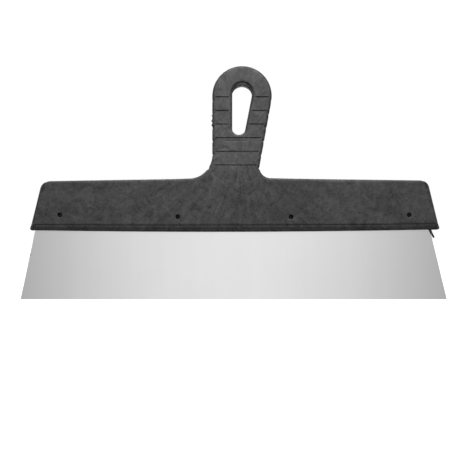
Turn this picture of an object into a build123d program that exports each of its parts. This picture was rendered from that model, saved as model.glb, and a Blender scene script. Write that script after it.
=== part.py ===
from build123d import *
from math import cos, radians, sin, sqrt, tan
import os

os.makedirs("parts", exist_ok=True)

# A flexible putty knife: a wide, thin spring-steel blade held by four pins in a one-piece moulded handle.
# X runs along the working edge, Y through the thickness with the front at -Y, and Z from the edge up to
# the hanging slot. The origin is the middle of the working edge, at mid-thickness. Sizes are millimetres.

# Blade: one flat sheet, widest at the working edge, with a hidden tang in the handle.
BLADE_WIDTH = 350.0
BLADE_THICKNESS = 0.5
BLADE_HEIGHT = 82.0
LEFT_TAPER = 12.1
RIGHT_TAPER = 13.8
TANG_CORNER = 12.0

# Handle, seen from the front: a crossbar with a bowed lower edge, and a short grip that leans to the right.
BAR_CENTRE = 1.0
BAR_HALF_WIDTH = 167.6
BAR_FOOT_Z = 57.1
BAR_LEFT_CORNER_Z = 56.7
BAR_RIGHT_CORNER_Z = 57.4
BAR_BOTTOM_Z = 55.4
BAR_LEFT_SHOULDER_Z = 96.9
BAR_RIGHT_SHOULDER_Z = 97.5
BAR_NECK_Z = 99.4
BAR_END_SLOPE = 14.5
LEFT_SHOULDER_RADIUS = 8.5
RIGHT_SHOULDER_RADIUS = 7.5
BAR_CORNER_RADIUS = 1.2
LOOP_X = 6.7
LOOP_Z = 165.4
LOOP_RADIUS = 24.3
GRIP_LEAN = 10.3
LEFT_NECK_RADIUS = 18.5
RIGHT_NECK_RADIUS = 8.5

# Handle, seen from the end: half-thicknesses at each height, thickest in the grip.
LIP_HALF = 2.2
BEVEL_HALF = 3.9
BEVEL_Z = 60.8
BAR_HALF = 5.5
GRIP_HALF = 9.25
GRIP_FROM_Z = 105.5
EDGE_ROUND = 1.8

# Hanging slot: a teardrop through the grip, with a straight left side and a leaning right side.
SLOT_TOP_X = 6.8
SLOT_TOP_Z = 167.4
SLOT_TOP_RADIUS = 8.0
SLOT_BOTTOM_X = 4.1
SLOT_BOTTOM_Z = 139.7
SLOT_BOTTOM_RADIUS = 5.3
SLOT_ROUND = 1.3

# Finger grooves across both faces of the grip, and a notch in each side a little below every groove.
GROOVE_COUNT = 6
GROOVE_TOP_Z = 164.1
GROOVE_PITCH = 11.0
GROOVE_WIDTH = 1.0
GROOVE_DEPTH = 0.5
GROOVE_INSET = 2.4
NOTCH_DROP = 2.2
NOTCH_DEPTH = 0.6
NOTCH_RADIUS = 1.6

# Four steel pins, recessed below both faces, through the handle and the blade's tang.
PIN_CENTRE = 0.6
PIN_OUTER_X = 142.4
PIN_INNER_X = 46.2
PIN_OUTER_Z = 69.0
PIN_INNER_Z = 67.5
PIN_RADIUS = 1.8
PIN_LENGTH = 4.4
PIN_CHAMFER = 0.4
BLADE_HOLE_RADIUS = 2.0

# The blade slides into a pocket in the handle, with this much room on each face and at its edges.
POCKET_GAP = 0.05
POCKET_EDGE_GAP = 0.3

# How closely a corner, an edge or a wall has to match when it is picked by its place or its direction.
PLACE_TOLERANCE = 0.1
EDGE_LEAN_LIMIT = 0.9
WALL_LEAN_LIMIT = 0.01


def grip_left_x():
    """X of the grip's straight left side."""
    return LOOP_X - LOOP_RADIUS


def grip_right_x(z):
    """X of the grip's leaning right side at height z, tangent to the loop's circle."""
    lean = radians(GRIP_LEAN)
    tangent_x = LOOP_X + LOOP_RADIUS * cos(lean)
    tangent_z = LOOP_Z - LOOP_RADIUS * sin(lean)
    return tangent_x - (tangent_z - z) * tan(lean)


def notch_left_x(z):
    """X of the grip's left side at height z, which flares into the crossbar below the neck's arc."""
    below_flare = max(0.0, BAR_NECK_Z + LEFT_NECK_RADIUS - z)
    return grip_left_x() - LEFT_NECK_RADIUS + sqrt(LEFT_NECK_RADIUS**2 - below_flare**2)


def bar_end_x(side, z):
    """X of the crossbar's sloping end at height z: side is -1 on the left and +1 on the right."""
    return BAR_CENTRE + side * (BAR_HALF_WIDTH - (z - BAR_FOOT_Z) * tan(radians(BAR_END_SLOPE)))


def blade_points(gap, low):
    """Corners of the blade's outline, made wider by gap and started at height low."""
    left_low = -BLADE_WIDTH / 2 + low * tan(radians(LEFT_TAPER)) - gap
    right_low = BLADE_WIDTH / 2 - low * tan(radians(RIGHT_TAPER)) + gap
    top = BLADE_HEIGHT + gap
    corner = top - TANG_CORNER
    left_corner = -BLADE_WIDTH / 2 + corner * tan(radians(LEFT_TAPER)) - gap
    right_corner = BLADE_WIDTH / 2 - corner * tan(radians(RIGHT_TAPER)) + gap
    return [
        (left_low, low),
        (right_low, low),
        (right_corner, corner),
        (right_corner - TANG_CORNER, top),
        (left_corner + TANG_CORNER, top),
        (left_corner, corner),
    ]


def half_section():
    """Corners of the handle's section, seen from the end, from below the lip to above the loop."""
    low = BAR_BOTTOM_Z - EDGE_ROUND
    low_half = LIP_HALF - EDGE_ROUND * (BEVEL_HALF - LIP_HALF) / (BEVEL_Z - BAR_BOTTOM_Z)
    high = LOOP_Z + 2 * LOOP_RADIUS
    front = [
        (low_half, low),
        (BEVEL_HALF, BEVEL_Z),
        (BAR_HALF, BAR_NECK_Z),
        (GRIP_HALF, GRIP_FROM_Z),
        (GRIP_HALF, high),
    ]
    back = [(-half, z) for half, z in reversed(front)]
    return front + back


def rims_of(chosen):
    """The chosen edges that follow a rim, and don't run straight through the thickness."""
    return ShapeList(edge for edge in chosen if abs(edge.tangent_at(0.5).Y) < EDGE_LEAN_LIMIT)


def is_wall(face):
    """Whether a face stands square to the front."""
    return abs(face.normal_at().Y) < WALL_LEAN_LIMIT


def corners_at(height):
    """Corners of the sketch that is open at this height, from left to right."""
    band = (height - PLACE_TOLERANCE, height + PLACE_TOLERANCE)
    return vertices().filter_by_position(Axis.Y, *band).sort_by(Axis.X)


PINS = [
    (PIN_CENTRE - PIN_OUTER_X, PIN_OUTER_Z),
    (PIN_CENTRE - PIN_INNER_X, PIN_INNER_Z),
    (PIN_CENTRE + PIN_INNER_X, PIN_INNER_Z),
    (PIN_CENTRE + PIN_OUTER_X, PIN_OUTER_Z),
]

GROOVES = [GROOVE_TOP_Z - GROOVE_PITCH * row for row in range(GROOVE_COUNT)]

# The blade, with a clearance hole for each pin.
with BuildPart() as blade:
    with BuildSketch(Plane.XZ):
        Polygon(*blade_points(0, 0), align=None)
        with Locations(*PINS):
            Circle(BLADE_HOLE_RADIUS, mode=Mode.SUBTRACT)
    extrude(amount=BLADE_THICKNESS / 2, both=True)
blade.part.label = "blade"
export_step(blade.part, "parts/blade.step")

# The area about the hanging slot that the finger grooves keep clear of.
with BuildSketch() as slot_guard:
    with Locations((SLOT_TOP_X, SLOT_TOP_Z)):
        Circle(SLOT_TOP_RADIUS + GROOVE_INSET)
    with Locations((SLOT_BOTTOM_X, SLOT_BOTTOM_Z)):
        Circle(SLOT_BOTTOM_RADIUS + GROOVE_INSET)
    make_hull()

# The handle: its section from the end, cut to its outline from the front.
with BuildPart() as handle:
    with BuildSketch(Plane.YZ):
        Polygon(*half_section(), align=None)
    extrude(amount=BLADE_WIDTH, both=True)

    with BuildSketch(Plane.XZ):
        with BuildLine():
            lean = radians(GRIP_LEAN)
            loop_start = (LOOP_X + LOOP_RADIUS * cos(lean), LOOP_Z - LOOP_RADIUS * sin(lean))
            loop_top = (LOOP_X, LOOP_Z + LOOP_RADIUS)
            loop_end = (LOOP_X - LOOP_RADIUS, LOOP_Z)
            lower_left = (bar_end_x(-1, BAR_LEFT_CORNER_Z), BAR_LEFT_CORNER_Z)
            lower_right = (bar_end_x(1, BAR_RIGHT_CORNER_Z), BAR_RIGHT_CORNER_Z)
            ThreePointArc(lower_left, (BAR_CENTRE, BAR_BOTTOM_Z), lower_right)
            Polyline(
                lower_right,
                (bar_end_x(1, BAR_RIGHT_SHOULDER_Z), BAR_RIGHT_SHOULDER_Z),
                (grip_right_x(BAR_NECK_Z), BAR_NECK_Z),
                loop_start,
            )
            ThreePointArc(loop_start, loop_top, loop_end)
            Polyline(
                loop_end,
                (grip_left_x(), BAR_NECK_Z),
                (bar_end_x(-1, BAR_LEFT_SHOULDER_Z), BAR_LEFT_SHOULDER_Z),
                lower_left,
            )
        make_face()
        fillet(corners_at(BAR_LEFT_CORNER_Z)[0], BAR_CORNER_RADIUS)
        fillet(corners_at(BAR_RIGHT_CORNER_Z)[-1], BAR_CORNER_RADIUS)
        fillet(corners_at(BAR_LEFT_SHOULDER_Z)[0], LEFT_SHOULDER_RADIUS)
        fillet(corners_at(BAR_RIGHT_SHOULDER_Z)[-1], RIGHT_SHOULDER_RADIUS)
        fillet(corners_at(BAR_NECK_Z)[0], LEFT_NECK_RADIUS)
        fillet(corners_at(BAR_NECK_Z)[-1], RIGHT_NECK_RADIUS)
    extrude(amount=2 * GRIP_HALF, both=True, mode=Mode.INTERSECT)

    # Round the outline's edges above the lip's bevel.
    rims = rims_of(faces().filter_by(is_wall).edges())
    fillet(rims.filter_by_position(Axis.Z, BEVEL_Z + PLACE_TOLERANCE, LOOP_Z + LOOP_RADIUS), EDGE_ROUND)

    # The hanging slot, with its rims rounded on both faces.
    with BuildSketch(Plane.XZ):
        with Locations((SLOT_TOP_X, SLOT_TOP_Z)):
            Circle(SLOT_TOP_RADIUS)
        with Locations((SLOT_BOTTOM_X, SLOT_BOTTOM_Z)):
            Circle(SLOT_BOTTOM_RADIUS)
        make_hull()
    extrude(amount=2 * GRIP_HALF, both=True, mode=Mode.SUBTRACT)
    fillet(rims_of(edges(Select.LAST)), SLOT_ROUND)

    # Finger grooves, cut into both faces and left open where they would meet the slot.
    for face_y in (-GRIP_HALF, GRIP_HALF):
        with BuildSketch(Plane.XZ.offset(-face_y)):
            for z in GROOVES:
                left = grip_left_x() + GROOVE_INSET
                right = grip_right_x(z) - GROOVE_INSET
                with Locations(((left + right) / 2, z)):
                    Rectangle(right - left, GROOVE_WIDTH)
            add(slot_guard.sketch, mode=Mode.SUBTRACT)
        extrude(amount=GROOVE_DEPTH, both=True, mode=Mode.SUBTRACT)

    # A notch in each side of the grip, a little below every groove.
    with BuildSketch(Plane.XZ):
        for z in GROOVES:
            notch_z = z - NOTCH_DROP
            with Locations((notch_left_x(notch_z) - NOTCH_RADIUS + NOTCH_DEPTH, notch_z)):
                Circle(NOTCH_RADIUS)
            with Locations((grip_right_x(notch_z) + NOTCH_RADIUS - NOTCH_DEPTH, notch_z)):
                Circle(NOTCH_RADIUS)
    extrude(amount=2 * GRIP_HALF, both=True, mode=Mode.SUBTRACT)

    # The blade's pocket, open at the lip, and the pin holes through both walls.
    with BuildSketch(Plane.XZ):
        Polygon(*blade_points(POCKET_EDGE_GAP, BAR_BOTTOM_Z - EDGE_ROUND), align=None)
    extrude(amount=BLADE_THICKNESS / 2 + POCKET_GAP, both=True, mode=Mode.SUBTRACT)
    with BuildSketch(Plane.XZ):
        with Locations(*PINS):
            Circle(PIN_RADIUS)
    extrude(amount=2 * GRIP_HALF, both=True, mode=Mode.SUBTRACT)
handle.part.label = "handle"
export_step(handle.part, "parts/handle.step")

# The pins: plain steel dowels with chamfered ends.
for number, (x, z) in enumerate(PINS, start=1):
    with BuildPart() as pin:
        with BuildSketch(Plane.XZ):
            with Locations((x, z)):
                Circle(PIN_RADIUS)
        extrude(amount=PIN_LENGTH / 2, both=True)
        chamfer(edges().filter_by(GeomType.CIRCLE), PIN_CHAMFER)
    pin.part.label = f"blade_pin_{number}"
    export_step(pin.part, f"parts/blade_pin_{number}.step")
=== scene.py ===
from math import atan2, ceil, cos, pi, radians, sin, tan

import bpy
import numpy as np
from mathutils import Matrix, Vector
from mathutils.geometry import delaunay_2d_cdt
from mathutils.kdtree import KDTree


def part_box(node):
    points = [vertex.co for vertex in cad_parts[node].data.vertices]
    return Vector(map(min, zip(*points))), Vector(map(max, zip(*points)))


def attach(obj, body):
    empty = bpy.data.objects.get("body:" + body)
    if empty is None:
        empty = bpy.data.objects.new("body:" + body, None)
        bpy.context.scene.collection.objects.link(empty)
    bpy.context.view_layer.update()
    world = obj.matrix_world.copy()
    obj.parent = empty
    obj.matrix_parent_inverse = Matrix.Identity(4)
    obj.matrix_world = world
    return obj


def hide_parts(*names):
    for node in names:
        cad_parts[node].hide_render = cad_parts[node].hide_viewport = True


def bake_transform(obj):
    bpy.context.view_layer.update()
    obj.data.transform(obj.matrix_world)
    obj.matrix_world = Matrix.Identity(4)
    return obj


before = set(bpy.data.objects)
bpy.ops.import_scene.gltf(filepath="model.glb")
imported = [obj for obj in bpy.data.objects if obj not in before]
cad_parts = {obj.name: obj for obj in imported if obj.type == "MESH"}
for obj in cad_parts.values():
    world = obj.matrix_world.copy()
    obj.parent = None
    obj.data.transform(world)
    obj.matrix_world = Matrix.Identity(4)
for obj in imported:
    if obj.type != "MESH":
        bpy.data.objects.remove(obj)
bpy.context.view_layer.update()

# Lengths are in millimetres, in the frame of the CAD model, and every mesh is scaled to metres by MM.
# X runs along the working edge, Y through the thickness with the front at -Y, and Z up from the edge.
MM = 0.001

handle_low, handle_high = [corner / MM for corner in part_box("handle")]
blade_low, blade_high = [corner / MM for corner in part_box("blade")]
PIN_NODES = [f"blade_pin_{number}" for number in (1, 2, 3, 4)]
pin_boxes = [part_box(node) for node in PIN_NODES]
PINS = [((low + high) / 2 / MM).xz for low, high in pin_boxes]
PIN_RADIUS = (pin_boxes[0][1].x - pin_boxes[0][0].x) / 2 / MM

# The handle's outline, seen from the front.
BAR_CENTRE = (handle_low.x + handle_high.x) / 2
BAR_HALF_WIDTH = 167.6
BAR_FOOT_Z = 57.1
BAR_LEFT_CORNER_Z = 56.7
BAR_RIGHT_CORNER_Z = 57.4
BAR_BOTTOM_Z = 55.4
BAR_LEFT_SHOULDER_Z = 96.9
BAR_RIGHT_SHOULDER_Z = 97.5
BAR_NECK_Z = 99.4
BAR_END_SLOPE = radians(14.5)
LEFT_SHOULDER_RADIUS = 8.5
RIGHT_SHOULDER_RADIUS = 7.5
BAR_CORNER_RADIUS = 1.2
LOOP_RADIUS = 24.3
LOOP_X = 6.7
LOOP_Z = handle_high.z - LOOP_RADIUS
GRIP_LEAN = radians(10.3)
GRIP_LEFT = LOOP_X - LOOP_RADIUS
LEFT_NECK_RADIUS = 18.5
RIGHT_NECK_RADIUS = 8.5

# The handle's half-thickness: a lip, a bevel above it, a slowly thickening crossbar, a fan and the grip.
LIP_HALF = 2.2
BEVEL_HALF = 3.9
BEVEL_HEIGHT = 5.2
BEVEL_NARROWING = 0.8
BEVEL_END = 2.7
BEVEL_END_STEP = 0.6
BAR_HALF = 5.5
GRIP_HALF = handle_high.y
FAN_TOP_Z = 112.0
FAN_BOTTOM_Z = 58.0
FAN_X = 5.0
FAN_INNER = 16.0
FAN_OUTER = 75.0

# The hanging slot is the outline round two circles.
SLOT_TOP = Vector((6.8, 167.4))
SLOT_TOP_RADIUS = 8.0
SLOT_BOTTOM = Vector((4.1, 139.7))
SLOT_BOTTOM_RADIUS = 5.3

# Rounded rims, and the draft and parting line of the mould.
RIM_ROUND = 2.0
LIP_ROUND = 0.5
SLOT_ROUND = 1.5
HOLE_ROUND = 0.3
RIM_STEPS = 5
DRAFT = 0.15
PARTING_HALF = 0.4
PARTING_RISE = 0.12
SLOT_DRAFT = 0.3
SLOT_PARTING_RISE = 0.25

# Finger grooves across the faces, a faint mark under the slot, and a notch in each side under every groove.
GROOVES = [164.1 - 11.0 * row for row in range(6)]
GROOVE_DEPTH = 0.6
GROOVE_HALF = 0.55
GROOVE_INSET = 2.0
GROOVE_FADE = 0.8
# The grooves and the mark are also darkened by painted shade, at this strength.
GROOVE_SHADE = 0.52
MARK_Z = 128.7
MARK_MIDDLE = 1.8
MARK_HALF = 9.8
MARK_SHADE = 0.35
NOTCH_DROP = 2.2
NOTCH_DEPTH = 0.65
NOTCH_HALF = 1.6

# The blade's pocket shows as a slit in the underside of the lip.
SLIT_LEFT = -163.3
SLIT_RIGHT = 161.5
SLIT_HALF = 0.3
SLIT_DEPTH = 1.0

# Nibs of flash on the left side of the grip: the height and the rise of each.
NIBS = [(150.6, 1.6), (146.3, 1.0), (142.8, 0.9)]
NIB_HALF = 1.0
NIB_REACH = 2.0

# A thin dark line along the top and the ends of the bevel, which is a little darker than the crossbar: the
# line is a shallow groove, and both the line and the bevel are darkened by painted shade.
BEVEL_LINE_DEPTH = 0.4
BEVEL_LINE_HALF = 0.6
BEVEL_LINE_SHADE = 1.0
BEVEL_SHADE = 0.22

# A thin tail of flash at the right end of the lip, in front of the blade, with its width along its length.
TAIL_ROOT = (160.5, 58.0)
TAIL_TIP = (164.1, 50.5)
TAIL_WIDTHS = [(0.0, 2.4), (0.2, 2.0), (0.4, 1.7), (0.6, 1.7), (0.8, 1.75), (0.95, 1.4), (1.0, 0.8)]
TAIL_THICKNESS = 0.7
TAIL_Y = -0.9
TAIL_BOW = 0.1
TAIL_SIDES = 8

# The blade's sides taper upward, and the corners of its hidden tang are cut off.
LEFT_TAPER = radians(12.1)
RIGHT_TAPER = radians(13.8)
TANG_CORNER = 12.0
BLADE_ROUND = 0.1
BLADE_STEP = 3.0
BLADE_HOLE_GAP = 0.2

# Edges sharper than this many degrees stay crisp.
SHARP_ANGLE = 38.0

# Spacing of the meshes' points.
HOLE_POINTS = 28
BEVEL_ROWS = [-0.6, -0.3, 0.0, 0.3, 0.6]
OUTLINE_STEP = 0.7
SLOT_STEP = 0.8
FACE_STEP = 2.2
BEVEL_STEP = 1.4
GROOVE_ROWS = [-0.85, -0.55, -0.36, -0.18, 0.0, 0.18, 0.36, 0.55, 0.85]
GROOVE_STEP = 1.2
END_STEP = 0.5

# Where the rows of points run, before they are cut to the outline: low and high X, and then Z for the fields.
BAR_FIELD = (-170, 172, 55, 112)
GRIP_FIELD = (-18, 32, 104, 190)
BEVEL_SPAN = (-168, 170)
GROOVE_SPAN = (-18, 32)
END_SPAN = (0.6, BEVEL_HEIGHT - 1)

# The grip's own spacing, how far each set of points keeps from others, and the share of a rim that is kept.
GRIP_STEP = FACE_STEP * 0.8
FIELD_GAP = FACE_STEP * 0.6
ROW_GAP = 0.7
END_GAP = 0.25
RIM_GAP = 0.45
RIM_KEPT = 0.985

# Rows of wall points: their room at the parting line and near the faces, and then, for the pin holes and
# the slot, their shares of the half-thickness.
PARTING_EASE = 0.1
WALL_EASE = 0.8
HOLE_WALL = 0.3
SLOT_WALL = (0.5, 0.12, 0.05)

# Points this close to the lip, a pin hole or the slit belong to it.
NEAR = 0.05

# The moulded plastic flowed out of a point above the neck, and painted light makes it paler round another
# point, left of the neck.
FLOW_Z = 125.0
PAINTED_LIGHT_AT = (-0.009, 0.111)
PAINTED_LIGHT_NEAR = 0.008
PAINTED_LIGHT_FAR = 0.058
PAINTED_LIGHT_TONE = 0.024

# Shares of each pattern in the plastic's tone, and how the streaks stretch about, along and through the flow.
CLOUD_SHARE = 0.31
SWIRL_SHARE = 0.33
STREAK_SHARE = 0.22
SPECK_SHARE = 0.14
FLOW_STRETCH = (14.0, 30.0, 60.0)

# Light: the level of the soft light at so many degrees aside from straight ahead, up to SOFTBOX_REACH.
SOFTBOX_REACH = 60.0
SOFTBOX_LEVELS = [(0, 1.17), (8, 1.11), (14, 0.87), (20, 0.46), (26, 0.16), (60, 0.15)]
BELOW_LEVEL = 0.05
TOP_LEVEL = 0.9
WORLD_STRENGTH = 1.0

# One soft lamp in front and one behind, in metres and watts.
KEY_PLACES = {"key_light": (0.02, -0.36, 0.46), "key_light_back": (-0.02, 0.36, 0.46)}
KEY_AIM = (0, 0, 0.1)
KEY_SIZE = (0.3, 0.25)
KEY_POWER = 1.6

# The floor, in metres, and how brightly it glows to the camera.
FLOOR_HALF = 4.0
FLOOR_Z = -0.0005
FLOOR_GLOW = 0.85

# The camera, in metres, and its lens and sensor in millimetres.
CAMERA = (-0.001, -0.5, 0.0548)
LENS = 47.15
SENSOR = 36.0


def smooth(t):
    """A soft step from 0 to 1 as t goes from 0 to 1."""
    t = np.clip(t, 0, 1)
    return t * t * (3 - 2 * t)


def bump(t):
    """A soft bump: 1 at t = 0, and 0 at 1 and beyond on either side."""
    return 1 - smooth(np.abs(t))


# ---------------------------------------------------------------- outlines


def spaced(points, step):
    """A closed loop through the points, with more between them wherever they are over step apart."""
    dense = []
    for here, there in zip(points, points[1:] + points[:1]):
        pieces = max(1, ceil((there - here).length / step - 0.01))
        dense += [here.lerp(there, k / pieces) for k in range(pieces)]
    kept = [dense[0]]
    for point in dense[1:]:
        if min((point - kept[-1]).length, (point - kept[0]).length) > step / 4:
            kept.append(point)
    return np.array(kept)


def arc(centre, radius, start, end, step):
    """Points along an arc, from one angle to another."""
    pieces = max(4, ceil(abs(end - start) * radius / step))
    angles = [start + (end - start) * k / pieces for k in range(pieces + 1)]
    return [centre + radius * Vector((cos(a), sin(a))) for a in angles]


def rounded_outline(corners, step):
    """Points round a polygon of corners (x, z, radius), given anticlockwise."""
    points = []
    for i, (x, z, radius) in enumerate(corners):
        here = Vector((x, z))
        before = (Vector(corners[i - 1][:2]) - here).normalized()
        after = (Vector(corners[(i + 1) % len(corners)][:2]) - here).normalized()
        half_angle = before.angle(after) / 2
        centre = here + (before + after).normalized() * (radius / sin(half_angle))
        reach = radius / tan(half_angle)
        start = here + before * reach - centre
        end = here + after * reach - centre
        start_angle = atan2(start.y, start.x)
        sweep = (atan2(end.y, end.x) - start_angle + pi) % (2 * pi) - pi
        points += arc(centre, radius, start_angle, start_angle + sweep, step)
    return spaced(points, step)


def circle(centre, radius, count):
    """Points round a circle, anticlockwise."""
    angles = np.linspace(0, 2 * pi, count, endpoint=False)
    return np.column_stack([centre.x + radius * np.cos(angles), centre.y + radius * np.sin(angles)])


def outward(loop):
    """Unit vectors that point out of an anticlockwise loop, one at each point."""
    along = np.roll(loop, -1, 0) - np.roll(loop, 1, 0)
    normal = np.column_stack([along[:, 1], -along[:, 0]])
    return normal / np.linalg.norm(normal, axis=1)[:, None]


def distance_to(points, loop):
    """Each point's distance to a closed loop."""
    nearest = np.full(len(points), 1e9)
    for start, end in zip(loop, np.roll(loop, -1, 0)):
        run = end - start
        along = np.clip(((points - start) @ run) / (run @ run), 0, 1)
        gap = points - start - along[:, None] * run
        nearest = np.minimum(nearest, np.hypot(gap[:, 0], gap[:, 1]))
    return nearest


def inside(points, loop):
    """Whether each point is inside a closed loop."""
    found = np.zeros(len(points), bool)
    for start, end in zip(loop, np.roll(loop, -1, 0)):
        if start[1] == end[1]:
            continue
        crosses = (points[:, 1] < start[1]) != (points[:, 1] < end[1])
        at = start[0] + (points[:, 1] - start[1]) * (end[0] - start[0]) / (end[1] - start[1])
        found ^= crosses & (points[:, 0] < at)
    return found


def grip_right(z):
    """X of the grip's leaning right side at height z."""
    tangent_z = LOOP_Z - LOOP_RADIUS * sin(GRIP_LEAN)
    return LOOP_X + LOOP_RADIUS * cos(GRIP_LEAN) - (tangent_z - z) * tan(GRIP_LEAN)


def bar_end(side, z):
    """X of the crossbar's sloping end at height z: side is -1 on the left and +1 on the right."""
    return BAR_CENTRE + side * (BAR_HALF_WIDTH - (z - BAR_FOOT_Z) * tan(BAR_END_SLOPE))


def lip_z(x):
    """Height of the handle's bowed lower edge, through both corners and the middle."""
    share = (x - BAR_CENTRE) / BAR_HALF_WIDTH
    bow = (BAR_LEFT_CORNER_Z + BAR_RIGHT_CORNER_Z) / 2 - BAR_BOTTOM_Z
    tilt = (BAR_RIGHT_CORNER_Z - BAR_LEFT_CORNER_Z) / 2
    return BAR_BOTTOM_Z + bow * share**2 + tilt * share


def bevel_height(x):
    """Height of the bevel above the lip, which is a little less toward the ends."""
    return BEVEL_HEIGHT - BEVEL_NARROWING * ((x - BAR_CENTRE) / BAR_HALF_WIDTH) ** 2


def handle_outline():
    """The handle's outline, with its bowed lip and notched sides."""
    top = LOOP_Z + LOOP_RADIUS
    points = rounded_outline(
        [
            (bar_end(-1, BAR_LEFT_CORNER_Z), BAR_LEFT_CORNER_Z, BAR_CORNER_RADIUS),
            (bar_end(1, BAR_RIGHT_CORNER_Z), BAR_RIGHT_CORNER_Z, BAR_CORNER_RADIUS),
            (bar_end(1, BAR_RIGHT_SHOULDER_Z), BAR_RIGHT_SHOULDER_Z, RIGHT_SHOULDER_RADIUS),
            (grip_right(BAR_NECK_Z), BAR_NECK_Z, RIGHT_NECK_RADIUS),
            (grip_right(top), top, LOOP_RADIUS),
            (GRIP_LEFT, top, LOOP_RADIUS),
            (GRIP_LEFT, BAR_NECK_Z, LEFT_NECK_RADIUS),
            (bar_end(-1, BAR_LEFT_SHOULDER_Z), BAR_LEFT_SHOULDER_Z, LEFT_SHOULDER_RADIUS),
        ],
        OUTLINE_STEP,
    )
    away = outward(points)
    share = (points[:, 0] - BAR_CENTRE) / BAR_HALF_WIDTH
    straight = (BAR_LEFT_CORNER_Z + BAR_RIGHT_CORNER_Z + (BAR_RIGHT_CORNER_Z - BAR_LEFT_CORNER_Z) * share) / 2
    on_lip = points[:, 1] < straight + 0.01
    points[on_lip, 1] = lip_z(points[on_lip, 0])
    on_grip = (points[:, 1] > BAR_NECK_Z + 3) & (points[:, 1] < LOOP_Z)
    notch = sum(bump((points[:, 1] - z + NOTCH_DROP) / NOTCH_HALF) for z in GROOVES) * on_grip
    inset = np.where(on_lip, 0, DRAFT + PARTING_RISE)
    return points - away * (NOTCH_DEPTH * notch + inset)[:, None]


def slot_outline():
    """The hanging slot's outline at the faces: two arcs joined by straight sides. It narrows inward."""
    run = SLOT_TOP - SLOT_BOTTOM
    lean = atan2(run.y, run.x)
    spread = pi / 2 - np.arcsin((SLOT_BOTTOM_RADIUS - SLOT_TOP_RADIUS) / run.length)
    grow = SLOT_DRAFT + SLOT_PARTING_RISE
    top = arc(SLOT_TOP, SLOT_TOP_RADIUS + grow, lean - spread, lean + spread, SLOT_STEP)
    bottom = arc(SLOT_BOTTOM, SLOT_BOTTOM_RADIUS + grow, lean + spread, lean + 2 * pi - spread, SLOT_STEP)
    return spaced(top + bottom, SLOT_STEP)


def blade_side(side, z):
    """X of the blade's side at height z: it tapers upward, and the tang's corners are cut off."""
    taper = LEFT_TAPER if side < 0 else RIGHT_TAPER
    half = blade_high.x - z * tan(taper)
    return side * (half - max(0.0, z - blade_high.z + TANG_CORNER) * (1 - tan(taper)))


def blade_outline():
    """The blade's outline, anticlockwise from its lower left corner."""
    corner_z = blade_high.z - TANG_CORNER
    heights = [0.0, corner_z, blade_high.z]
    right = [Vector((blade_side(1, z), z)) for z in heights]
    left = [Vector((blade_side(-1, z), z)) for z in reversed(heights)]
    return spaced(right + left, BLADE_STEP)


# ---------------------------------------------------------------- plates


def rim_drop(distance, radius):
    """How far a face falls away at a distance from its rounded rim."""
    short = np.clip(radius - distance, 0, radius)
    return radius - np.sqrt(radius**2 - short**2)


def rim_rings(loop, radius, side):
    """Rows of points beside a loop, close together where its rim is round. Side is -1 inside, +1 outside."""
    radius = np.broadcast_to(radius, len(loop))[:, None]
    turns = [pi / 2 * k / RIM_STEPS for k in range(1, RIM_STEPS + 1)]
    rings = [loop + side * outward(loop) * radius * (1 - cos(turn)) for turn in turns]
    return [(ring, radius[:, 0] * (1 - cos(turn))) for ring, turn in zip(rings, turns)]


def grid(low_x, high_x, low_z, high_z, step):
    """Points of a triangular grid over a rectangle."""
    rows = []
    for row, z in enumerate(np.arange(low_z, high_z, step * 0.87)):
        shift = step / 2 * (row % 2)
        rows += [(x, z) for x in np.arange(low_x + shift, high_x, step)]
    return np.array(rows)


def clear_of(points, others, gap):
    """The points that are at least gap from every other point."""
    tree = KDTree(len(others))
    for i, (x, z) in enumerate(others):
        tree.insert((x, z, 0), i)
    tree.balance()
    return np.array([p for p in points if tree.find((p[0], p[1], 0))[2] >= gap])


def laid_over(rows, fill, gap):
    """Rows of points, with those points of a fill that keep clear of them."""
    return np.concatenate([rows, clear_of(fill, rows, gap)])


def outside_holes(points, holes):
    """The points that are in none of the holes."""
    for hole in holes:
        points = points[~inside(points, hole)]
    return points


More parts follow.
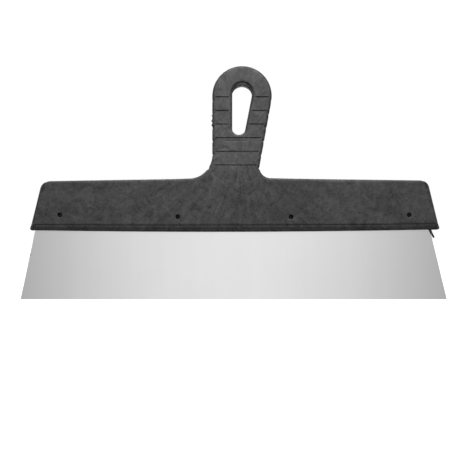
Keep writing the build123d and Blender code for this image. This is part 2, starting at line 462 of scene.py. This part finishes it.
def plate(name, loops, fill, half, walls, extra=None):
    """A closed mesh with faces at y = -half and +half. loops[0] is the outer one; the others are holes.

    fill holds the points inside the faces, half gives the half-thickness at points, and walls gives, for
    each loop, the rows of wall points between the front face's edge and the back one's. extra is another
    closed shape, as its points and faces, that joins the mesh.
    """
    loop_points = np.concatenate(loops)
    edges = []
    first = 0
    for loop in loops:
        count = len(loop)
        edges += [(first + k, first + (k + 1) % count) for k in range(count)]
        first += count
    flat = [Vector(p) for p in np.concatenate([loop_points, fill])]
    coords, _, triangles, origins, _, _ = delaunay_2d_cdt(flat, edges, [], 0, 1e-6)
    coords = np.array(coords)
    place = {old: new for new, olds in enumerate(origins) for old in olds}
    triangles = np.array(triangles)
    middle = coords[triangles].mean(1)
    keep = inside(middle, loops[0])
    for hole in loops[1:]:
        keep &= ~inside(middle, hole)
    triangles = triangles[keep]

    count = len(coords)
    thick = half(coords)
    front = np.column_stack([coords[:, 0], -thick, coords[:, 1]])
    back = np.column_stack([coords[:, 0], thick, coords[:, 1]])
    verts = [front, back]
    faces = [tuple(t) for t in triangles] + [tuple(count + t[::-1]) for t in triangles]
    total = 2 * count
    first = 0
    for number, loop in enumerate(loops):
        ids = np.array([place[first + k] for k in range(len(loop))])
        first += len(loop)
        rows = [ids]
        for row in walls(number, loop, thick[ids]):
            verts.append(row)
            rows.append(np.arange(total, total + len(loop)))
            total += len(loop)
        rows.append(ids + count)
        for one, two in zip(rows, rows[1:]):
            for k in range(len(loop)):
                j = (k + 1) % len(loop)
                quad = (one[k], two[k], two[j], one[j])
                faces.append(quad if number == 0 else quad[::-1])
    if extra:
        verts.append(extra[0])
        faces += [tuple(total + i for i in face) for face in extra[1]]
    mesh = bpy.data.meshes.new(name)
    mesh.from_pydata((np.concatenate(verts) * MM).tolist(), [], [[int(i) for i in f] for f in faces])
    mesh.validate()
    mesh.shade_smooth()
    mesh.set_sharp_from_angle(angle=radians(SHARP_ANGLE))
    piece = bpy.data.objects.new(name, mesh)
    bpy.context.scene.collection.objects.link(piece)
    return piece


# ---------------------------------------------------------------- the handle


def rim_radius(points):
    """The rim's radius, which is small at the lip and full above the bevel."""
    lift = points[:, 1] - lip_z(points[:, 0])
    return LIP_ROUND + (RIM_ROUND - LIP_ROUND) * smooth(lift / (BEVEL_HEIGHT + 1))


def plateau(points):
    """The handle's half-thickness away from its rims: lip, bevel, crossbar, fan and grip."""
    x, z = points.T
    lift = z - lip_z(x)
    bevelled = on_bevel(points)
    height = bevel_height(x)
    bar = BEVEL_HALF + (BAR_HALF - BEVEL_HALF) * (lift - height) / (BAR_NECK_Z - BAR_BOTTOM_Z - BEVEL_HEIGHT)
    bevel = LIP_HALF + (BEVEL_HALF - LIP_HALF) * np.clip(lift / height, 0, 1)
    low = bar + (np.minimum(bar, bevel) - bar) * bevelled
    rise = smooth((z - FAN_BOTTOM_Z) / (FAN_TOP_Z - FAN_BOTTOM_Z))
    spread = 1 - smooth((np.abs(x - FAN_X) - FAN_INNER) / (FAN_OUTER - FAN_INNER))
    return low + (GRIP_HALF - low) * rise * np.where(z > FAN_TOP_Z, 1, spread)


def from_end(points):
    """Each point's distance from the nearer end of the crossbar, along X."""
    half_width = BAR_HALF_WIDTH - (points[:, 1] - BAR_FOOT_Z) * tan(BAR_END_SLOPE)
    return half_width - np.abs(points[:, 0] - BAR_CENTRE)


def on_bevel(points):
    """1 where the bevel runs, and 0 at the crossbar's ends, where the full face comes down to the lip."""
    return smooth((from_end(points) - BEVEL_END) / BEVEL_END_STEP)


def grooves(points, edge):
    """How deep a finger groove is at points, from 0 to 1. Edge is the distance to the nearest rim."""
    rows = sum(bump((points[:, 1] - z) / GROOVE_HALF) for z in GROOVES)
    short = np.abs(points[:, 0] - MARK_MIDDLE) < MARK_HALF
    rows += MARK_SHADE * bump((points[:, 1] - MARK_Z) / GROOVE_HALF) * short
    return rows * smooth((edge - GROOVE_INSET) / GROOVE_FADE)


def bevel_line(points):
    """How deep the thin line along the top and ends of the bevel is at points, from 0 to 1."""
    lift = points[:, 1] - lip_z(points[:, 0])
    height = bevel_height(points[:, 0])
    top = bump((lift - height) / BEVEL_LINE_HALF) * on_bevel(points)
    ends = bump((from_end(points) - BEVEL_END) / BEVEL_LINE_HALF) * (lift < height) * (lift > LIP_ROUND)
    return np.maximum(top, ends)


def bevel_rows():
    """Rows of points along the top of the bevel."""
    x = np.arange(*BEVEL_SPAN, BEVEL_STEP)
    top = lip_z(x) + bevel_height(x)
    return np.concatenate([np.column_stack([x, top + offset]) for offset in BEVEL_ROWS])


def bevel_ends():
    """Columns of points up both ends of the bevel."""
    z = BAR_FOOT_Z + np.arange(*END_SPAN, END_STEP)
    columns = []
    for side in (-1, 1):
        for offset in BEVEL_ROWS:
            columns.append(np.column_stack([bar_end(side, z) - side * (BEVEL_END + offset), z]))
    return np.concatenate(columns)


def groove_rows():
    """Rows of points along the finger grooves and the mark."""
    x = np.arange(*GROOVE_SPAN, GROOVE_STEP)
    rows = []
    for z in [*GROOVES, MARK_Z]:
        for offset in GROOVE_ROWS:
            rows.append(np.column_stack([x, np.full(len(x), z + offset)]))
    return np.concatenate(rows)


def handle_rings(outer, slot, holes):
    """Rows of points along the handle's rounded rims."""
    rings = []
    for ring, offset in rim_rings(outer, rim_radius(outer), -1):
        kept = distance_to(ring, outer) > offset * RIM_KEPT
        rings.append(ring[kept & inside(ring, outer)])
    rings += [ring for ring, _ in rim_rings(slot, SLOT_ROUND, 1)]
    for hole in holes:
        rings += [ring for ring, _ in rim_rings(hole, HOLE_ROUND, 1)][1::2]
    return rings


def handle_fill(outer, slot, holes, rings):
    """Points inside the handle's faces: a grid, with closer rows at the bevel, the grooves and the rims."""
    top = bevel_rows()
    ends = clear_of(bevel_ends(), top, END_GAP)
    fill = laid_over(grid(*BAR_FIELD, FACE_STEP), grid(*GRIP_FIELD, GRIP_STEP), FIELD_GAP)
    fill = laid_over(top, fill, ROW_GAP)
    fill = laid_over(ends, fill, END_GAP)
    fill = laid_over(groove_rows(), fill, ROW_GAP)
    fill = fill[inside(fill, outer) & ~inside(fill, slot)]
    fill = clear_of(fill, np.concatenate([outer, slot, *holes, *rings]), RIM_GAP)
    return np.concatenate([outside_holes(fill, holes), *rings])


def front_to_back(half):
    """Rows of (distance, ...) from the face to the middle, and the same again from the middle to the back."""
    return [(-distance, *rest) for distance, *rest in half] + half[::-1]


def outer_walls(loop, thick):
    """Rows of wall points round the outline: its draft, the parting line, the nibs and the blade's slit."""
    x, z = loop.T
    lip = (np.abs(z - lip_z(x)) < NEAR) & (x > SLIT_LEFT) & (x < SLIT_RIGHT)
    nib = sum(rise * bump((z - height) / NIB_HALF) for height, rise in NIBS) * (x < GRIP_LEFT + NIB_REACH)
    # Each row: distance from the middle, how far out it stands, depth at the slit and share of a nib.
    half = [
        ((thick + WALL_EASE) / 2, DRAFT / 2, 0.0, 0.5),
        (np.full(len(loop), PARTING_HALF + PARTING_EASE), DRAFT, 0.0, 0.5),
        (np.full(len(loop), SLIT_HALF), DRAFT + PARTING_RISE, SLIT_DEPTH, 1.0),
    ]
    rows = []
    for y, out, depth, share in front_to_back(half):
        push = np.where(lip, -depth, out + nib * share)
        at = loop + outward(loop) * push[:, None]
        rows.append(np.column_stack([at[:, 0], y, at[:, 1]]))
    return rows


def slot_walls(loop, thick):
    """Rows of wall points in the hanging slot, which narrows inward to its parting line."""
    pushes = (SLOT_DRAFT / 2, SLOT_DRAFT, SLOT_DRAFT + SLOT_PARTING_RISE)
    rows = []
    for share, push in front_to_back(list(zip(SLOT_WALL, pushes))):
        at = loop - outward(loop) * push
        rows.append(np.column_stack([at[:, 0], thick * share, at[:, 1]]))
    return rows


def handle_piece():
    """The one-piece moulded handle."""
    outer = handle_outline()
    slot = slot_outline()
    holes = [circle(pin, PIN_RADIUS, HOLE_POINTS) for pin in PINS]
    fill = handle_fill(outer, slot, holes, handle_rings(outer, slot, holes))

    def depth(points):
        from_outer = distance_to(points, outer)
        from_slot = distance_to(points, slot)
        edge = np.minimum(from_outer, from_slot)
        value = plateau(points) - rim_drop(from_outer, rim_radius(points)) - rim_drop(from_slot, SLOT_ROUND)
        for hole in holes:
            value -= rim_drop(distance_to(points, hole), HOLE_ROUND)
        return value - GROOVE_DEPTH * grooves(points, edge) - BEVEL_LINE_DEPTH * bevel_line(points)

    def walls(number, loop, thick):
        if number == 0:
            return outer_walls(loop, thick)
        if number == 1:
            return slot_walls(loop, thick)
        return [np.column_stack([loop[:, 0], thick * share, loop[:, 1]]) for share in (-HOLE_WALL, HOLE_WALL)]

    piece = plate("handle_moulding", [outer, slot, *holes], fill, depth, walls, flash_tail())
    mark_wear_and_shade(piece, [outer, slot])
    return piece


def flash_tail():
    """A thin tail of flash that hangs from the right end of the lip, just in front of the blade."""
    start, end = Vector(TAIL_ROOT), Vector(TAIL_TIP)
    side = Vector((end.y - start.y, start.x - end.x)).normalized()
    points = []
    for share, width in TAIL_WIDTHS:
        middle = start.lerp(end, share) + side * TAIL_BOW * sin(pi * share)
        for turn in range(TAIL_SIDES):
            angle = 2 * pi * turn / TAIL_SIDES
            at = middle + side * (width / 2 * cos(angle))
            points.append((at.x, TAIL_Y + TAIL_THICKNESS / 2 * sin(angle), at.y))
    faces = [tuple(range(TAIL_SIDES))]
    for row in range(len(TAIL_WIDTHS) - 1):
        for turn in range(TAIL_SIDES):
            one = row * TAIL_SIDES + turn
            two = row * TAIL_SIDES + (turn + 1) % TAIL_SIDES
            faces.append((one, one + TAIL_SIDES, two + TAIL_SIDES, two))
    last = (len(TAIL_WIDTHS) - 1) * TAIL_SIDES
    faces.append(tuple(range(last + TAIL_SIDES - 1, last - 1, -1)))
    return np.array(points), faces


def mark_wear_and_shade(piece, loops):
    """Stores how close each point is to a rim, and the painted shade of the grooves, the bevel and its line,
    the pin holes and the slit, from 0 to 1.
    """
    place = np.array([v.co for v in piece.data.vertices]) / MM
    flat = place[:, [0, 2]]
    gap = np.min([distance_to(flat, loop) for loop in loops], axis=0)
    store(piece, "rim", 1 - smooth(gap / RIM_ROUND))
    # Painted shade: how dark the grooves, the bevel line, the bevel, the pin holes and the slit are painted,
    # from 0 to 1.
    deep = np.maximum(GROOVE_SHADE * grooves(flat, gap), BEVEL_LINE_SHADE * bevel_line(flat))
    lift = flat[:, 1] - lip_z(flat[:, 0])
    deep = np.maximum(deep, BEVEL_SHADE * on_bevel(flat) * (lift < bevel_height(flat[:, 0])))
    for pin in PINS:
        deep = np.maximum(deep, np.hypot(*(flat - np.array(pin)).T) < PIN_RADIUS + NEAR)
    in_slit = (np.abs(place[:, 1]) < SLIT_HALF + NEAR) & (lift < SLIT_DEPTH + 2 * NEAR)
    store(piece, "painted_recess_shade", np.maximum(deep, in_slit))


def store(piece, name, values):
    """Adds a value at each point of a mesh."""
    made = piece.data.attributes.new(name, "FLOAT", "POINT")
    made.data.foreach_set("value", np.asarray(values, np.float32))


# ---------------------------------------------------------------- the blade


def blade_piece():
    """The spring-steel sheet, with its tang and the pins' clearance holes."""
    outer = blade_outline()
    holes = [circle(pin, PIN_RADIUS + BLADE_HOLE_GAP, HOLE_POINTS) for pin in PINS]
    inset = outer - outward(outer) * BLADE_ROUND
    fill = grid(blade_low.x, blade_high.x, 0, blade_high.z, BLADE_STEP)
    fill = fill[inside(fill, outer)]
    fill = clear_of(fill, np.concatenate([outer, *holes]), BLADE_STEP * 0.5)
    fill = np.concatenate([outside_holes(fill, holes), inset])
    half = (blade_high.y - blade_low.y) / 2

    def thickness(points):
        return half - rim_drop(distance_to(points, outer), BLADE_ROUND)

    def walls(number, loop, thick):
        return []

    return plate("blade_sheet", [outer, *holes], fill, thickness, walls)


# ---------------------------------------------------------------- materials


class Nodes:
    """Adds nodes to a tree, and links each one's inputs to other sockets or sets them to values."""

    def __init__(self, tree):
        self.tree = tree

    def add(self, kind, inputs=(), **settings):
        """A new node, with its settings and then its inputs, by number or name."""
        node = self.tree.nodes.new(kind)
        for name, value in settings.items():
            setattr(node, name, value)
        for key, value in dict(inputs).items():
            if isinstance(value, bpy.types.NodeSocket):
                self.tree.links.new(value, node.inputs[key])
            else:
                node.inputs[key].default_value = value
        return node

    def math(self, operation, *values):
        """A Math node's result."""
        return self.add("ShaderNodeMath", enumerate(values), operation=operation).outputs[0]

    def length(self, one, two):
        """The distance that two distances at a right angle make."""
        squares = [self.math("MULTIPLY", side, side) for side in (one, two)]
        return self.math("SQRT", self.math("ADD", *squares))

    def noise(self, vector, scale, detail=4.0, rough=0.5, distortion=0.0):
        """A noise texture's value."""
        inputs = {"Vector": vector, "Scale": scale, "Detail": detail}
        inputs |= {"Roughness": rough, "Distortion": distortion}
        return self.add("ShaderNodeTexNoise", inputs).outputs[0]

    def between(self, value, low, high, to_low, to_high):
        """A value, mapped from one range to another and held inside it."""
        inputs = {"Value": value, "From Min": low, "From Max": high, "To Min": to_low, "To Max": to_high}
        return self.add("ShaderNodeMapRange", inputs).outputs[0]

    def grey(self, value):
        """A grey colour from a value."""
        return self.add("ShaderNodeCombineColor", {0: value, 1: value, 2: value}).outputs[0]

    def bump(self, height, distance, strength):
        """A normal from a height."""
        inputs = {"Height": height, "Distance": distance, "Strength": strength}
        return self.add("ShaderNodeBump", inputs).outputs[0]


def material(name, base, metallic, roughness):
    """A new material with its shader's plain values set, its nodes and its shader."""
    made = bpy.data.materials.new(name)
    made.use_nodes = True
    made.diffuse_color = (*base, 1)
    shader = made.node_tree.nodes["Principled BSDF"]
    shader.inputs["Base Color"].default_value = (*base, 1)
    shader.inputs["Metallic"].default_value = metallic
    shader.inputs["Roughness"].default_value = roughness
    return made, Nodes(made.node_tree), shader.inputs


def link(nodes, socket, shader_input):
    """Links a socket to an input."""
    nodes.tree.links.new(socket, shader_input)


def black_plastic():
    """Satin black polypropylene: cloudy swirls, streaks that fan from the neck, fine grain and worn rims,
    with painted light round a point left of the neck and painted shade in the grooves, on the bevel and its
    line, in the pin holes and in the slit.
    """
    made, nodes, shader = material("black_plastic", (0.036, 0.036, 0.0365), 0.0, 0.5)
    place = nodes.add("ShaderNodeTexCoord").outputs["Object"]
    x, y, z = nodes.add("ShaderNodeSeparateXYZ", {0: place}).outputs
    across = nodes.math("SUBTRACT", x, FAN_X * MM)
    down = nodes.math("SUBTRACT", FLOW_Z * MM, z)
    angle = nodes.math("ARCTAN2", across, down)
    reach = nodes.length(across, down)
    stretched = [nodes.math("MULTIPLY", *pair) for pair in zip((angle, reach, y), FLOW_STRETCH)]
    fan = nodes.add("ShaderNodeCombineXYZ", enumerate(stretched)).outputs[0]
    streaks = nodes.noise(fan, 1.0, 4.0, 0.6, 0.4)
    clouds = nodes.noise(place, 120.0, 5.0, 0.6, 1.4)
    swirls = nodes.noise(place, 420.0, 3.0, 0.6, 2.2)
    grain = nodes.noise(place, 2600.0, 3.0, 0.6)
    specks = nodes.noise(place, 1000.0, 2.0, 0.6, 0.8)
    mixed = nodes.math("MULTIPLY", clouds, CLOUD_SHARE)
    for pattern, share in ((swirls, SWIRL_SHARE), (streaks, STREAK_SHARE), (specks, SPECK_SHARE)):
        mixed = nodes.math("ADD", mixed, nodes.math("MULTIPLY", pattern, share))
    rim = nodes.add("ShaderNodeAttribute", attribute_name="rim").outputs["Fac"]
    worn = nodes.math("MULTIPLY", rim, nodes.between(swirls, 0.45, 0.7, 0.0, 0.022))
    tone = nodes.math("ADD", nodes.between(mixed, 0.38, 0.62, 0.003, 0.078), worn)
    # Painted light: a paler pool round a point left of the neck, which stands in for more light falling there
    # from the left and above.
    lit_x = nodes.math("SUBTRACT", x, PAINTED_LIGHT_AT[0])
    lit_z = nodes.math("SUBTRACT", z, PAINTED_LIGHT_AT[1])
    painted_light = nodes.between(nodes.length(lit_x, lit_z), PAINTED_LIGHT_NEAR, PAINTED_LIGHT_FAR, PAINTED_LIGHT_TONE, 0.0)
    painted_light = nodes.math("MULTIPLY", painted_light, nodes.between(mixed, 0.4, 0.6, 0.45, 1.55))
    tone = nodes.math("ADD", tone, painted_light)
    # Painted shade: the colour falls to 0.15 of itself where the stored painted shade is full.
    painted_recess_shade = nodes.add("ShaderNodeAttribute", attribute_name="painted_recess_shade").outputs["Fac"]
    tone = nodes.math("MULTIPLY", tone, nodes.between(painted_recess_shade, 0.0, 1.0, 1.0, 0.15))
    link(nodes, nodes.grey(tone), shader["Base Color"])
    rough = nodes.between(clouds, 0.3, 0.7, 0.56, 0.42)
    link(nodes, nodes.math("ADD", rough, nodes.math("MULTIPLY", painted_recess_shade, 0.35)), shader["Roughness"])
    height = nodes.math("ADD", nodes.math("MULTIPLY", grain, 0.5), nodes.math("MULTIPLY", clouds, 1.5))
    link(nodes, nodes.bump(height, 0.0001, 0.35), shader["Normal"])
    return made


def ground_steel():
    """Bright spring steel with a fine vertical grain, faint bands and a few soft smudges."""
    made, nodes, shader = material("ground_steel", (0.76, 0.76, 0.765), 1.0, 0.3)
    place = nodes.add("ShaderNodeTexCoord").outputs["Object"]
    grained = nodes.add("ShaderNodeMapping", {0: place, "Scale": (1.0, 1.0, 0.02)}).outputs[0]
    lines = nodes.noise(grained, 3000.0, 3.0, 0.7)
    bands = nodes.noise(grained, 90.0, 2.0, 0.5)
    smudges = nodes.noise(place, 26.0, 3.0, 0.5, 0.6)
    tone = nodes.between(bands, 0.3, 0.7, 0.753, 0.765)
    tone = nodes.math("ADD", tone, nodes.between(lines, 0.3, 0.7, -0.004, 0.004))
    link(nodes, nodes.grey(tone), shader["Base Color"])
    rough = nodes.between(smudges, 0.35, 0.65, 0.285, 0.3)
    rough = nodes.math("ADD", rough, nodes.between(lines, 0.3, 0.7, -0.01, 0.01))
    link(nodes, rough, shader["Roughness"])
    link(nodes, nodes.bump(lines, 0.00001, 0.025), shader["Normal"])
    return made


def dull_steel():
    """Dull, blackened steel pins with a cloudy finish and fine marks."""
    made, nodes, shader = material("dull_steel", (0.03, 0.03, 0.031), 0.5, 0.55)
    place = nodes.add("ShaderNodeTexCoord").outputs["Object"]
    clouds = nodes.noise(place, 900.0, 4.0, 0.6, 0.8)
    marks = nodes.noise(place, 5000.0, 2.0, 0.6)
    link(nodes, nodes.grey(nodes.between(clouds, 0.3, 0.7, 0.004, 0.016)), shader["Base Color"])
    link(nodes, nodes.between(clouds, 0.3, 0.7, 0.85, 0.65), shader["Roughness"])
    link(nodes, nodes.bump(marks, 0.00003, 0.3), shader["Normal"])
    return made


# ---------------------------------------------------------------- stage, light and camera


def studio_world():
    """White to the camera. To the object it is a soft light in front and one behind, with more from above."""
    world = bpy.data.worlds.new("studio")
    world.use_nodes = True
    nodes = Nodes(world.node_tree)
    for node in list(world.node_tree.nodes):
        world.node_tree.nodes.remove(node)
    toward = nodes.add("ShaderNodeTexCoord").outputs["Generated"]
    x, y, z = nodes.add("ShaderNodeSeparateXYZ", {0: toward}).outputs
    turn = nodes.math("ARCTAN2", nodes.math("ABSOLUTE", x), nodes.math("ABSOLUTE", y))
    ramp = nodes.add("ShaderNodeValToRGB", {0: nodes.between(turn, 0.0, radians(SOFTBOX_REACH), 0.0, 1.0)})
    stops = ramp.color_ramp.elements
    stops.remove(stops[1])
    stops[0].position = 0.0
    stops[0].color = (SOFTBOX_LEVELS[0][1],) * 3 + (1,)
    for degrees, level in SOFTBOX_LEVELS[1:]:
        stops.new(degrees / SOFTBOX_REACH).color = (level, level, level, 1)
    floor_shade = nodes.between(z, -0.65, -0.38, BELOW_LEVEL, 1.0)
    sky_shade = nodes.between(z, 0.3, 0.8, 1.0, 0.3)
    soft = nodes.math("MULTIPLY", ramp.outputs[0], nodes.math("MULTIPLY", floor_shade, sky_shade))
    above = nodes.between(z, 0.35, 0.9, 0.0, TOP_LEVEL)
    light = nodes.grey(nodes.math("ADD", soft, above))
    lighting = nodes.add("ShaderNodeBackground", {0: light, 1: WORLD_STRENGTH}).outputs[0]
    white = nodes.add("ShaderNodeBackground", {0: (1, 1, 1, 1), 1: 1.0}).outputs[0]
    seen = nodes.add("ShaderNodeLightPath").outputs["Is Camera Ray"]
    mixed = nodes.add("ShaderNodeMixShader", {0: seen, 1: lighting, 2: white}).outputs[0]
    nodes.add("ShaderNodeOutputWorld", {0: mixed})
    bpy.context.scene.world = world


def pale_floor():
    """A pale floor under the knife. It throws no light back at the object."""
    mesh = bpy.data.meshes.new("floor")
    corners = [(x * FLOOR_HALF, y * FLOOR_HALF, 0) for x, y in ((-1, -1), (1, -1), (1, 1), (-1, 1))]
    mesh.from_pydata(corners, [], [(0, 1, 2, 3)])
    floor = bpy.data.objects.new("floor", mesh)
    floor.location.z = FLOOR_Z
    pale, nodes, shader = material("pale_floor", (0.6, 0.6, 0.6), 0.0, 1.0)
    shader["Emission Color"].default_value = (1, 1, 1, 1)
    shader["Emission Strength"].default_value = FLOOR_GLOW
    shader["Specular IOR Level"].default_value = 0.0
    mesh.materials.append(pale)
    bpy.context.scene.collection.objects.link(floor)
    floor.visible_diffuse = False
    floor.visible_glossy = False
    floor.visible_shadow = False


def softbox(name, location, aim, size, power):
    """A soft area light that looks at a point."""
    light = bpy.data.lights.new(name, "AREA")
    light.shape = "RECTANGLE"
    light.size, light.size_y = size
    light.energy = power
    lamp = bpy.data.objects.new(name, light)
    lamp.location = location
    lamp.rotation_euler = (Vector(aim) - Vector(location)).to_track_quat("-Z", "Y").to_euler()
    lamp.visible_camera = False
    bpy.context.scene.collection.objects.link(lamp)


def camera():
    """The camera, level, in front of the knife, at the height of the lip."""
    data = bpy.data.cameras.new("camera")
    data.lens = LENS
    data.sensor_width = SENSOR
    made = bpy.data.objects.new("camera", data)
    made.location = CAMERA
    made.rotation_euler = (pi / 2, 0, 0)
    bpy.context.scene.collection.objects.link(made)
    bpy.context.scene.camera = made


# ---------------------------------------------------------------- making it all

handle = handle_piece()
handle.data.materials.append(black_plastic())
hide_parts("handle")
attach(handle, "handle")

blade = blade_piece()
blade.data.materials.append(ground_steel())
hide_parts("blade")
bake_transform(blade)

pin_finish = dull_steel()
for node in PIN_NODES:
    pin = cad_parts[node]
    pin.data.materials.clear()
    pin.data.materials.append(pin_finish)

studio_world()
pale_floor()
for name, place in KEY_PLACES.items():
    softbox(name, place, KEY_AIM, KEY_SIZE, KEY_POWER)
camera()
bpy.context.scene.view_settings.view_transform = "Standard"
